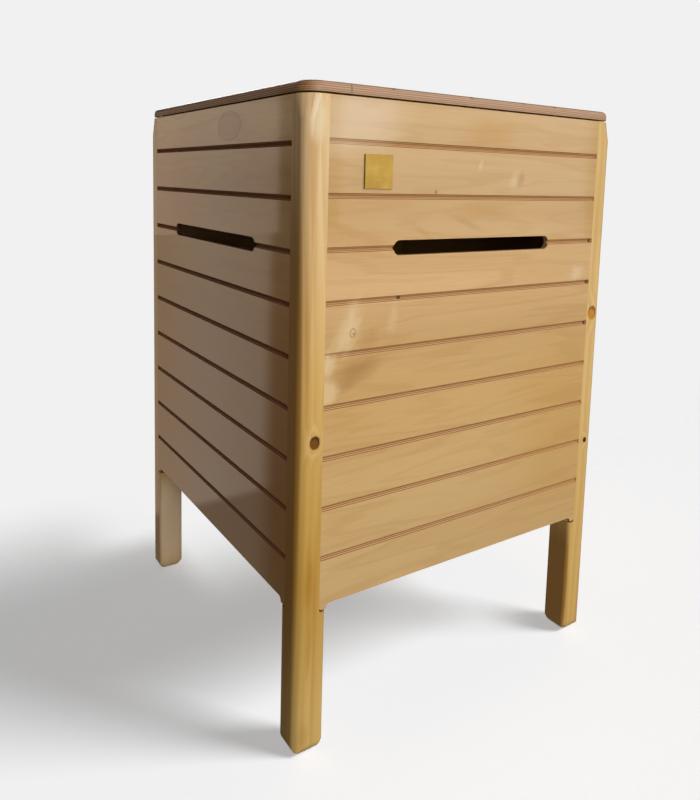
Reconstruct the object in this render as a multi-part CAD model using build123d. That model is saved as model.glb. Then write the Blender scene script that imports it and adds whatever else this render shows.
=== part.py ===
from build123d import *

import math
import os

# A square wooden keeper on four legs: pine corner posts, grooved plywood panels, two of them with a
# vent slot, a floor on cleats and a thin lid hinged along the back. Millimetres, Z up, the front faces -Y.
# The origin lies on the floor, at the middle of the whole outline.

# Overall box
box_width = 338.0
box_depth = 345.0
leg_clear = 124.0

# Panels and their grooves
panel_thickness = 5.0
groove_count = 9
groove_pitch = 40.0
groove_bottom_margin = 38.5
groove_top_margin = 33.0
side_groove_drop = 2.4
groove_width = 4.5
groove_depth = 2.2
ear_drop = 4.0
ear_corner_radius = 2.0

# Vent slots, on the same groove and as far from the corners on both sides that have one
slotted_sides = ("front", "left")
slot_height = 12.0
slot_from_corner = 81.0
slot_groove_from_top = 3

# Posts
post_size = 26.0
post_strip = 20.0
post_outer_radius = 8.0
post_inner_radius = 3.5
post_blend_height = 18.0
foot_radius = 9.5
foot_corner_radius = 12.5
foot_corner_flat = 10.0
rabbet_end_gap = 2.0

# Floor and its cleats
floor_thickness = 5.0
floor_clearance = 0.5
cleat_height = 15.0
cleat_width = 15.0
cleat_end_clearance = 0.5

# Lid
lid_thickness = 8.0
lid_corner_radius = 15.0
lid_top_radius = 4.5
bumper_size = 9.0
bumper_clearance = 0.2

# Rail behind the lid's back edge, which takes the hinge screws
rail_height = 20.0
rail_width = 20.0
tenon_size = 12.0
tenon_length = 14.0
tenon_clearance = 0.1
tenon_end_gap = 0.5

# Butt hinges
hinge_from_post = 36.0
hinge_length = 40.0
hinge_reach = 14.0
leaf_thickness = 1.0
leaf_gap = 0.6
knuckle_count = 3
knuckle_gap = 0.2
knuckle_radius = 2.3
knuckle_back_clearance = 0.3
pin_radius = 1.25
pin_clearance = 0.05
mortise_clearance = 0.1

# Countersunk wood screws
screw_radius = 1.5
screw_head_radius = 2.5
screw_pilot_clearance = 0.05
hinge_screws_per_leaf = 2
hinge_screw_end_margin = 8.0
hinge_screw_from_edge = 4.5
box_screw_length = 13.0
lid_screw_length = 6.0

# Bare plate on the front
plate_size = 26.0
plate_thickness = 1.5
plate_chamfer = 0.4
plate_from_side = 51.0
plate_below_band_centre = 1.5

# Sizes that follow
panel_height = groove_bottom_margin + (groove_count - 1) * groove_pitch + groove_top_margin
body_height = leg_clear + panel_height
rabbet_width = post_size - post_strip
rabbet_end = leg_clear - ear_drop - rabbet_end_gap
front_panel_width = box_width - 2 * post_strip
side_panel_width = box_depth - 2 * post_strip
slot_z = leg_clear + groove_bottom_margin + (groove_count - slot_groove_from_top) * groove_pitch
floor_bottom = leg_clear + cleat_height
floor_top = floor_bottom + floor_thickness
lid_gap = leaf_thickness + leaf_gap
lid_bottom = body_height + lid_gap
lid_top = lid_bottom + lid_thickness
bumper_thickness = lid_gap - bumper_clearance
hinge_axis_z = body_height + leaf_gap / 2
hinge_axis_offset = knuckle_radius + knuckle_back_clearance
rail_length = box_width - 2 * post_size

# The plate reaches forward and the hinge knuckles reach back, and the origin is midway
front_reach = plate_thickness
back_reach = hinge_axis_offset + knuckle_radius
y_centre = (front_reach - back_reach) / 2

half_width = box_width / 2
half_depth = box_depth / 2
corners = {
    "front_left": (-1, -1),
    "front_right": (1, -1),
    "back_left": (-1, 1),
    "back_right": (1, 1),
}
hinge_sides = {"left": -1, "right": 1}
diagonal = Plane(origin=(0, 0, 0), z_dir=(1, -1, 0))


def block(x0, x1, y0, y1, z0, z1):
    """A rectangular solid from its lowest to its highest corner."""
    return Pos((x0 + x1) / 2, (y0 + y1) / 2, (z0 + z1) / 2) * Box(x1 - x0, y1 - y0, z1 - z0)


def at_origin(shape):
    """Moves a shape from the box's own middle to the origin of the whole outline."""
    return Pos(0, y_centre, 0) * shape


def foot_profile(width, radius):
    """An upright outline of a given width, as tall as a post, its lower corners rounded."""
    edge = width / 2
    turn = radius * (1 - math.sqrt(0.5))
    with BuildSketch(Plane.XZ) as sketch:
        with BuildLine():
            Line((radius - edge, 0), (edge - radius, 0))
            ThreePointArc((edge - radius, 0), (edge - turn, turn), (edge, radius))
            Polyline((edge, radius), (edge, body_height), (-edge, body_height), (-edge, radius))
            ThreePointArc((-edge, radius), (turn - edge, turn), (radius - edge, 0))
        make_face()
    return sketch.sketch


def leg_section(outer_radius):
    """A post in plan, its outer corner towards the origin and rounded the most."""
    with BuildSketch() as sketch:
        Rectangle(post_size, post_size, align=(Align.MIN, Align.MIN))
        nearest_first = sketch.vertices().sort_by(lambda v: v.X + v.Y)
        fillet(nearest_first[1:], post_inner_radius)
        fillet(sketch.vertices().sort_by(lambda v: v.X + v.Y)[0], outer_radius)
    return sketch.sketch


def leg():
    """A post before its rabbets: the outer corner widens to the lid's corner, and the foot is rounded all round."""
    blend_start = body_height - post_blend_height
    shaft = extrude(leg_section(post_outer_radius), amount=blend_start)
    sections = [Pos(0, 0, blend_start) * leg_section(post_outer_radius)]
    sections.append(Pos(0, 0, body_height) * leg_section(lid_corner_radius))
    solid = shaft + loft(sections, ruled=True)
    from_sides = extrude(foot_profile(post_size, foot_radius), amount=post_size, both=True)
    corner_width = foot_corner_flat + 2 * foot_corner_radius
    from_corners = extrude(foot_profile(corner_width, foot_corner_radius), amount=post_size, both=True)
    for turn, kept in ((0, from_sides), (90, from_sides), (45, from_corners), (135, from_corners)):
        solid = solid & (Pos(post_size / 2, post_size / 2, 0) * Rot(0, 0, turn) * kept)
    return solid


def rabbet():
    """What is cut from a post for the panel on its -Y side, its stopped end rounded like the panel's ear."""
    solid = block(post_strip, post_size + 1, -1, panel_thickness, rabbet_end, body_height + 1)
    end_edge = solid.edges().filter_by(Axis.Y).sort_by(lambda e: e.center().X + e.center().Z)[0]
    return fillet(end_edge, ear_corner_radius)


def post(x_side, y_side):
    """One corner post and leg with its two rabbets, and a mortise where the hinge rail meets it."""
    solid = Pos(-half_width, -half_depth, 0) * (leg() - rabbet() - mirror(rabbet(), about=diagonal))
    if x_side > 0:
        solid = mirror(solid, about=Plane.YZ)
    if y_side > 0:
        solid = mirror(solid, about=Plane.XZ) - rail_tenon(x_side, tenon_clearance, tenon_end_gap)
    return solid


def panel_outline(width):
    """A panel seen from outside: square on top, with a coved ear at each lower corner."""
    edge = width / 2
    ear = edge - rabbet_width
    cove = ear - ear_drop
    mid = ear_drop * math.sqrt(0.5)
    with BuildSketch() as sketch:
        with BuildLine():
            Line((-edge, panel_height), (edge, panel_height))
            Line((edge, panel_height), (edge, -ear_drop))
            Line((edge, -ear_drop), (ear, -ear_drop))
            ThreePointArc((ear, -ear_drop), (cove + mid, -ear_drop + mid), (cove, 0))
            Line((cove, 0), (-cove, 0))
            ThreePointArc((-cove, 0), (-cove - mid, -ear_drop + mid), (-ear, -ear_drop))
            Line((-ear, -ear_drop), (-edge, -ear_drop))
            Line((-edge, -ear_drop), (-edge, panel_height))
        make_face()
        outer_ends = [v for v in sketch.vertices() if abs(v.X) > edge - 0.01 and v.Y < 0]
        fillet(outer_ends, ear_corner_radius)
    return sketch.sketch


def groove_cutter(width):
    """One V groove along X, its mouth on the plane y = 0."""
    half = groove_width / 2
    with BuildSketch(Plane.YZ) as sketch:
        with BuildLine():
            Polyline((-1, half), (0, half), (groove_depth, 0), (0, -half), (-1, -half), close=True)
        make_face()
    return extrude(sketch.sketch, amount=width / 2 + 1, both=True)


def panel(width, groove_drop, slotted):
    """A grooved plywood panel, with a slot or without: its outer face on y = 0, its lower edge on z = 0."""
    solid = extrude(Plane.XZ * panel_outline(width), amount=-panel_thickness)
    cutter = groove_cutter(width)
    for number in range(groove_count):
        solid = solid - Pos(0, 0, groove_bottom_margin - groove_drop + number * groove_pitch) * cutter
    if not slotted:
        return solid
    slot_length = width - 2 * (slot_from_corner - post_strip)
    slot = extrude(Plane.XZ * SlotOverall(slot_length, slot_height), amount=panel_thickness + 1, both=True)
    return solid - Pos(0, 0, slot_z - groove_drop - leg_clear) * slot


def placed_panel(side):
    """A panel turned and set flush in the rabbets on its side of the box."""
    along_x = side in ("front", "back")
    width = front_panel_width if along_x else side_panel_width
    reach = half_depth if along_x else half_width
    groove_drop = 0.0 if along_x else side_groove_drop
    turn = {"front": 0, "right": 90, "back": 180, "left": 270}[side]
    solid = Rot(0, 0, turn) * (Pos(0, -reach, leg_clear) * panel(width, groove_drop, side in slotted_sides))
    if side == "back":
        for hand in hinge_sides.values():
            solid = solid - hinge_mortise(hand)
    return solid


def hinge_x(hand):
    """The middle of a hinge, left or right."""
    return hand * (half_width - post_size - hinge_from_post - hinge_length / 2)


def hinge_mortise(hand):
    """The shallow recess that the box leaf of a hinge lies in."""
    half = hinge_length / 2 + mortise_clearance
    front = half_depth - hinge_reach - mortise_clearance
    x = hinge_x(hand)
    return block(x - half, x + half, front, half_depth + 1, body_height - leaf_thickness, body_height + 1)


def hinge_screw_places(hand):
    """Where the screws of one leaf stand, along X and Y."""
    span = hinge_length - 2 * hinge_screw_end_margin
    step = span / (hinge_screws_per_leaf - 1)
    y = half_depth - hinge_reach + hinge_screw_from_edge
    return [(hinge_x(hand) - span / 2 + n * step, y) for n in range(hinge_screws_per_leaf)]


def screw(length, head_height):
    """A countersunk screw pointing down, its head flush with z = 0."""
    with BuildSketch(Plane.XZ) as sketch:
        with BuildLine():
            Polyline(
                (0, 0),
                (screw_head_radius, 0),
                (screw_radius, -head_height),
                (screw_radius, -length),
                (0, -length),
                close=True,
            )
        make_face()
    return revolve(sketch.sketch, axis=Axis.Z)


def screw_hole(length, head_height):
    """The countersunk hole that a screw turns into, a little wider than its shank."""
    radius = screw_radius + screw_pilot_clearance
    with BuildSketch(Plane.XZ) as sketch:
        with BuildLine():
            Polyline(
                (0, 1),
                (screw_head_radius + screw_pilot_clearance, 1),
                (screw_head_radius + screw_pilot_clearance, 0),
                (radius, -head_height),
                (radius, -length - screw_pilot_clearance),
                (0, -length - screw_pilot_clearance),
                close=True,
            )
        make_face()
    return revolve(sketch.sketch, axis=Axis.Z)


def box_leaf_screws(shape_of, hand):
    """A shape for each screw of a box leaf, pointing down into the rail."""
    made = shape_of(box_screw_length, leaf_thickness)
    return [Pos(x, y, body_height) * made for x, y in hinge_screw_places(hand)]


def lid_leaf_screws(shape_of, hand):
    """A shape for each screw of a lid leaf, pointing up into the lid."""
    made = Rot(180, 0, 0) * shape_of(lid_screw_length, leaf_thickness)
    return [Pos(x, y, lid_bottom - leaf_thickness) * made for x, y in hinge_screw_places(hand)]


def knuckle_spans(of_box):
    """The stretches of the barrel that a leaf holds: the odd ones for the box, the even for the lid."""
    pitch = hinge_length / knuckle_count
    spans = []
    for number in range(knuckle_count):
        if (number % 2 == 0) == of_box:
            start = -hinge_length / 2 + number * pitch
            spans.append((start + knuckle_gap / 2, start + pitch - knuckle_gap / 2))
    return spans


def hinge_leaf(hand, of_box):
    """A flat leaf with its knuckles curled round the pin, screw holes cut."""
    x = hinge_x(hand)
    axis_y = half_depth + hinge_axis_offset
    low = body_height - leaf_thickness if of_box else lid_bottom - leaf_thickness
    front = half_depth - hinge_reach
    rear = axis_y - knuckle_radius - knuckle_back_clearance
    solid = block(x - hinge_length / 2, x + hinge_length / 2, front, rear, low, low + leaf_thickness)
    bore = Pos(x, axis_y, hinge_axis_z) * Rot(0, 90, 0) * Cylinder(pin_radius + pin_clearance, 2 * hinge_length)
    for start, end in knuckle_spans(of_box):
        barrel = Rot(0, 90, 0) * Cylinder(knuckle_radius, end - start)
        solid = solid + Pos(x + (start + end) / 2, axis_y, hinge_axis_z) * barrel
        tongue_end = axis_y - (pin_radius + knuckle_radius) / 2
        solid = solid + block(x + start, x + end, rear - 1, tongue_end, low, low + leaf_thickness)
    solid = solid - bore
    holes = box_leaf_screws(screw_hole, hand) if of_box else lid_leaf_screws(screw_hole, hand)
    for hole in holes:
        solid = solid - hole
    return solid


def hinge_pin(hand):
    """The pin through a hinge's barrel."""
    solid = Rot(0, 90, 0) * Cylinder(pin_radius, hinge_length - knuckle_gap)
    return Pos(hinge_x(hand), half_depth + hinge_axis_offset, hinge_axis_z) * solid


def rail_tenon(x_side, clearance=0.0, end_gap=0.0):
    """The tenon on one end of the hinge rail, or the mortise for it in a back post."""
    half = tenon_size / 2 + clearance
    inner, outer = half_width - post_size - 1, half_width - post_size + tenon_length + end_gap
    x0, x1 = sorted((x_side * inner, x_side * outer))
    y = half_depth - panel_thickness - rail_width / 2
    z = body_height - rail_height / 2
    return block(x0, x1, y - half, y + half, z - half, z + half)


def hinge_rail():
    """The rail along the inside of the back panel, tenoned into the back posts, mortised for the hinges."""
    rear = half_depth - panel_thickness
    solid = block(-rail_length / 2, rail_length / 2, rear - rail_width, rear, body_height - rail_height, body_height)
    for hand in hinge_sides.values():
        solid = solid + rail_tenon(hand) - hinge_mortise(hand)
        for hole in box_leaf_screws(screw_hole, hand):
            solid = solid - hole
    return solid


def cleat(side):
    """A batten inside the foot of a panel, from post to post, that the floor lies on."""
    along_x = side in ("front", "back")
    span = (box_width if along_x else box_depth) / 2 - post_size - cleat_end_clearance
    reach = (half_depth if along_x else half_width) - panel_thickness
    solid = block(-span, span, -reach, -reach + cleat_width, leg_clear, floor_bottom)
    turn = {"front": 0, "right": 90, "back": 180, "left": 270}[side]
    return Rot(0, 0, turn) * solid


def floor_panel():
    """The floor, notched round the posts and glued down on the cleats."""
    x = half_width - panel_thickness - floor_clearance
    y = half_depth - panel_thickness - floor_clearance
    notch_x = half_width - post_size - floor_clearance
    notch_y = half_depth - post_size - floor_clearance
    solid = block(-x, x, -y, y, floor_bottom, floor_top)
    for x_side, y_side in corners.values():
        x0, x1 = sorted((x_side * notch_x, x_side * half_width))
        y0, y1 = sorted((y_side * notch_y, y_side * half_depth))
        solid = solid - block(x0, x1, y0, y1, floor_bottom - 1, floor_top + 1)
    return solid


def lid_board():
    """The thin lid, flush with the box, its corners rounded and its upper edge softened."""
    outline = RectangleRounded(box_width, box_depth, lid_corner_radius)
    solid = extrude(Pos(0, 0, lid_bottom) * outline, amount=lid_thickness)
    solid = fillet(solid.edges().group_by(Axis.Z)[-1], lid_top_radius)
    for hand in hinge_sides.values():
        for hole in lid_leaf_screws(screw_hole, hand):
            solid = solid - hole
    return solid


def lid_bumpers():
    """Thin pads on the two front posts, which the closed lid comes down to."""
    from_corner = post_size / 2
    pads = []
    for x_side in (-1, 1):
        place = Pos(x_side * (half_width - from_corner), from_corner - half_depth, body_height + bumper_thickness / 2)
        pads.append(place * Box(bumper_size, bumper_size, bumper_thickness))
    return pads


def name_plate():
    """A bare square plate on the front, between the two upper grooves."""
    solid = block(-plate_size / 2, plate_size / 2, -plate_thickness, 0, -plate_size / 2, plate_size / 2)
    solid = chamfer(solid.edges().group_by(Axis.Y)[0], plate_chamfer)
    band_centre = leg_clear + groove_bottom_margin + (groove_count - 1.5) * groove_pitch
    x = plate_from_side + plate_size / 2 - half_width
    return Pos(x, -half_depth, band_centre - plate_below_band_centre) * solid


def build():
    """Every piece of the keeper by its node name, a list where one node holds several solids."""
    pieces = {}
    for name, (x_side, y_side) in corners.items():
        pieces[f"post_{name}"] = post(x_side, y_side)
    for side in ("front", "back", "left", "right"):
        pieces[f"panel_{side}"] = placed_panel(side)
        pieces[f"cleat_{side}"] = cleat(side)
    pieces["floor_panel"] = floor_panel()
    pieces["hinge_rail"] = hinge_rail()
    for name, hand in hinge_sides.items():
        pieces[f"hinge_{name}_box_leaf"] = hinge_leaf(hand, True)
        pieces[f"hinge_{name}_lid_leaf"] = hinge_leaf(hand, False)
        pieces[f"hinge_{name}_pin"] = hinge_pin(hand)
    pieces["hinge_box_screws"] = [s for hand in hinge_sides.values() for s in box_leaf_screws(screw, hand)]
    pieces["hinge_lid_screws"] = [s for hand in hinge_sides.values() for s in lid_leaf_screws(screw, hand)]
    pieces["lid_board"] = lid_board()
    pieces["lid_bumpers"] = lid_bumpers()
    pieces["name_plate"] = name_plate()
    return pieces


os.makedirs("parts", exist_ok=True)
for node, made in build().items():
    if isinstance(made, list):
        shape = Compound(children=[at_origin(solid) for solid in made])
    else:
        shape = at_origin(made)
    export_step(shape, f"parts/{node}.step")
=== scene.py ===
"""Dresses a wooden keeper on legs: varnished pine posts, grooved birch plywood and a thin hinged lid.

Pieces and finishes are measured in millimetres and the studio in metres, both from the frame's origin.
"""

from __future__ import annotations

import logging
import math
from dataclasses import dataclass
from enum import Enum
from typing import Any

import bpy
from mathutils import Matrix, Vector

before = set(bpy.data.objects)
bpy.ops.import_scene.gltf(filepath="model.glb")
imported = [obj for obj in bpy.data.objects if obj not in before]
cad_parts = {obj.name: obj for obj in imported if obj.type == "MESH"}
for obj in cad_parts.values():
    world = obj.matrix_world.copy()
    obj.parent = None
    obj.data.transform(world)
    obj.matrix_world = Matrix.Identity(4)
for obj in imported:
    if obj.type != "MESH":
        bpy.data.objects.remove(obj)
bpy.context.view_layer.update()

MM = 0.001
# A metre in millimetres: features METRE / 12 long come twelve to the metre
METRE = 1000
LOG = logging.getLogger("wooden_keeper")

Point = tuple[float, float, float]
Tones = tuple[tuple[float, str], ...]
Inputs = dict[str | int, Any]
Material = bpy.types.Material
Tree = bpy.types.NodeTree
Node = bpy.types.Node
Socket = bpy.types.NodeSocket

# A colour mixer's sockets, which go by number: how much of one colour lies over the other, and the result
SHARE, UNDER, OVER, MIXED = 0, 6, 7, 2
COLOURS = {"data_type": "RGBA"}
# Settings for a value that eases in, and for one that eases out
EASED = {"interpolation_type": "SMOOTHSTEP"}
FADING = EASED | {"To Min": 1.0, "To Max": 0.0}


def linear(colour: str) -> tuple[float, float, float, float]:
    """Turns an sRGB hex colour into the linear colour that a shader reads.

    Args:
        colour: Six hex digits after a hash sign.

    Returns:
        Red, green, blue and an alpha of one, all linear.
    """
    channels = [int(colour[start:start + 2], 16) / 255 for start in (1, 3, 5)]
    red, green, blue = (c / 12.92 if c <= 0.04045 else ((c + 0.055) / 1.055) ** 2.4 for c in channels)
    return red, green, blue, 1.0


def add_node(tree: Tree, kind: str, settings: Inputs | None = None, links: Inputs | None = None) -> Node:
    """Adds one node with its settings and its incoming links.

    Args:
        tree: The node tree that gets the node.
        kind: Blender's name for the kind of node, after the word ShaderNode.
        settings: Values by property name, or by the name or number of an input socket.
        links: Sockets, or nodes whose first output is meant, by the name or number of an input socket.

    Returns:
        The new node.
    """
    made = tree.nodes.new(f"ShaderNode{kind}")
    for key, value in (settings or {}).items():
        if isinstance(key, str) and key in made.bl_rna.properties:
            setattr(made, key, value)
        else:
            made.inputs[key].default_value = value
    for key, source in (links or {}).items():
        socket = source.outputs[0] if isinstance(source, Node) else source
        tree.links.new(socket, made.inputs[key])
    return made


def emptied_tree(owner: Material | bpy.types.World) -> Tree:
    """Turns on a material's or a world's node tree and empties it.

    Args:
        owner: What the tree belongs to.

    Returns:
        The empty tree.
    """
    owner.use_nodes = True
    owner.node_tree.nodes.clear()
    return owner.node_tree


def new_material(name: str, settings: Inputs) -> tuple[Material, Node]:
    """Makes a material with one surface shader.

    Args:
        name: The material's name, after the real material and how its surface was made.
        settings: Values for the surface shader's sockets.

    Returns:
        The material and its surface shader.
    """
    material = bpy.data.materials.new(name)
    tree = emptied_tree(material)
    surface = add_node(tree, "BsdfPrincipled", settings)
    add_node(tree, "OutputMaterial", links={"Surface": surface})
    return material, surface


def dress(finishes: dict[str, Material]) -> None:
    """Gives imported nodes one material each, all over.

    Args:
        finishes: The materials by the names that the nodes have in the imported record.
    """
    for node_name, material in finishes.items():
        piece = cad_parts[node_name]
        piece.data.materials.clear()
        piece.data.materials.append(material)


def add_pattern(
    tree: Tree, place: Socket, lengths: Point, settings: Inputs, start: Point = (0.0, 0.0, 0.0)
) -> Node:
    """Adds an uneven pattern whose features are as long as given along each axis.

    Args:
        tree: The material's node tree.
        place: The point's position.
        lengths: The length of the features along X, Y and Z, in millimetres.
        settings: How detailed and how rough the pattern is.
        start: Where in the endless pattern the piece lies.

    Returns:
        The pattern.
    """
    scale = [1 / (length * MM) for length in lengths]
    drawn = add_node(tree, "Mapping", {"Scale": scale, "Location": start}, {"Vector": place})
    return add_node(tree, "TexNoise", {"Scale": 1.0} | settings, {"Vector": drawn})


def add_tones(tree: Tree, place: Socket, tones: Tones) -> Socket:
    """Adds a slow change of colour up the piece: the wood's own tone, with painted light and shade where the
    tones are set for them.

    Args:
        tree: The material's node tree.
        place: The point's position.
        tones: Heights in millimetres from the floor up, each with its colour.

    Returns:
        The colour at the point's height.
    """
    height = add_node(tree, "SeparateXYZ", links={0: place}).outputs["Z"]
    colour = add_node(tree, "RGB").outputs[0]
    colour.default_value = linear(tones[0][1])
    for (low, _), (high, tone) in zip(tones, tones[1:]):
        rise = add_node(tree, "MapRange", {"From Min": low * MM, "From Max": high * MM}, {"Value": height})
        laid = COLOURS | {OVER: linear(tone)}
        colour = add_node(tree, "Mix", laid, {SHARE: rise, UNDER: colour}).outputs[MIXED]
    return colour


def add_ragged(tree: Tree, place: Node, noise: Inputs, spread: float, low: float) -> Node:
    """Pushes points about a little, so that an oval drawn with them gets a ragged edge.

    Args:
        tree: The material's node tree.
        place: The point's place in half sizes of the oval.
        noise: How coarse and how detailed the raggedness is.
        spread: How far the strongest push lies above the weakest.
        low: The weakest push.

    Returns:
        The place that the point is pushed to.
    """
    uneven = add_node(tree, "TexNoise", noise, {"Vector": place})
    push = add_node(
        tree,
        "VectorMath",
        {"operation": "MULTIPLY_ADD", 1: (spread,) * 3, 2: (low,) * 3},
        {0: uneven.outputs["Color"]},
    )
    return add_node(tree, "VectorMath", {"operation": "ADD"}, {0: place, 1: push})


class Axis(Enum):
    """A direction of the frame, as a unit vector."""

    X = (1.0, 0.0, 0.0)
    Y = (0.0, 1.0, 0.0)
    Z = (0.0, 0.0, 1.0)


@dataclass(frozen=True)
class Mark:
    """A tinted oval round a point, in millimetres: a small figure in the wood, and on some pieces painted
    light and shade.

    Attributes:
        centre: The middle of the oval.
        half: Its half sizes along X, Y and Z.
        colour: Its tint.
        share: How much of the tint lies over the wood at most.
        solid: How far out it keeps that share, from 0 at the middle to 1 at the edge.
        hollow: How far out it is left open, as in a ring, or 0 for a full oval.
        lean: How far it leans, in degrees about the axis across the face.
        ragged: How uneven its edge is.
    """

    centre: Point
    half: Point
    colour: str
    share: float
    solid: float = 0.4
    hollow: float = 0.0
    lean: float = 0.0
    ragged: float = 0.3


def add_marks(tree: Tree, place: Socket, colour: Socket, marks: tuple[Mark, ...], across: Axis) -> Socket:
    """Tints a colour with figures and with painted light and shade, each an oval with a more or less ragged
    edge.

    Args:
        tree: The material's node tree.
        place: The point's position.
        colour: The wood's colour without the figures.
        marks: The figures and the painted light and shade, from the lowest to the one on top.
        across: The axis across the face, which the figures lean about.

    Returns:
        The tinted colour.
    """
    noise = {"Scale": 1.3, "Detail": 2.0}
    hollow_edge = 0.2
    for mark in marks:
        centre = [c * MM for c in mark.centre]
        scale = [1 / (c * MM) for c in mark.half]
        away = add_node(tree, "VectorMath", {"operation": "SUBTRACT", 1: centre}, {0: place})
        turned = add_node(
            tree,
            "VectorRotate",
            {"rotation_type": "AXIS_ANGLE", "Axis": across.value, "Angle": -math.radians(mark.lean)},
            {"Vector": away},
        )
        sized = add_node(tree, "VectorMath", {"operation": "MULTIPLY", 1: scale}, {0: turned})
        edge = add_ragged(tree, sized, noise, mark.ragged, -mark.ragged / 2)
        reach = add_node(tree, "VectorMath", {"operation": "LENGTH"}, {0: edge}).outputs["Value"]
        full = FADING | {"From Min": mark.solid, "From Max": 1.0, "To Min": mark.share}
        mask = add_node(tree, "MapRange", full, {"Value": reach})
        if mark.hollow:
            opened = EASED | {"From Min": mark.hollow - hollow_edge, "From Max": mark.hollow}
            ring = add_node(tree, "MapRange", opened, {"Value": reach})
            mask = add_node(tree, "Math", {"operation": "MULTIPLY"}, {0: mask, 1: ring})
        tint = COLOURS | {OVER: linear(mark.colour)}
        colour = add_node(tree, "Mix", tint, {SHARE: mask, UNDER: colour}).outputs[MIXED]
    return colour


@dataclass(frozen=True)
class ClearVarnish:
    """Clear gloss varnish, brushed on: a glassy film that faintly mirrors lights and walls over the wood.

    Where the wood is cut across its fibres the film soaks in, and little of its shine is left.
    """

    coat: float = 1.0
    soaked_coat: float = 0.0
    relief: float = 0.05
    ridge: float = 0.3
    coat_roughness: float = 0.06
    wood_roughness: float = 0.5

    def settings(self) -> Inputs:
        """Gives the values of the surface shader's own sockets."""
        return {
            "Roughness": self.wood_roughness,
            "Specular IOR Level": 0.1,
            "Coat Weight": self.coat,
            "Coat Roughness": self.coat_roughness,
            "Coat IOR": 1.5,
        }

    def lay(self, tree: Tree, surface: Node, colour: Socket, cut: Node, fibres: Node) -> None:
        """Lays the film over the wood.

        Args:
            tree: The material's node tree.
            surface: The surface shader.
            colour: The wood's colour.
            cut: Where the wood is cut across, from 0 to 1.
            fibres: The fibres, which stand up a little through the film.
        """
        film = add_node(
            tree,
            "Math",
            {"operation": "MULTIPLY_ADD", 1: self.soaked_coat - self.coat, 2: self.coat},
            {0: cut},
        )
        relief = {"Strength": self.relief, "Distance": self.ridge * MM}
        ridges = add_node(tree, "Bump", relief, {"Height": fibres})
        tree.links.new(colour, surface.inputs["Base Color"])
        tree.links.new(film.outputs[0], surface.inputs["Coat Weight"])
        tree.links.new(ridges.outputs[0], surface.inputs["Normal"])


@dataclass(frozen=True)
class Knot:
    """A branch cut through by a face: an oval with a brown core and a darker rim, in millimetres.

    Attributes:
        centre: The middle of the oval.
        across: Its half width.
        along: Its half height.
        dark_side: How far the core lies below the middle, so that the rim is thicker above it.
        core: The core's colour.
        rim: The rim's colour.
    """

    centre: Point
    across: float
    along: float
    dark_side: float
    core: str
    rim: str


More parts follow.
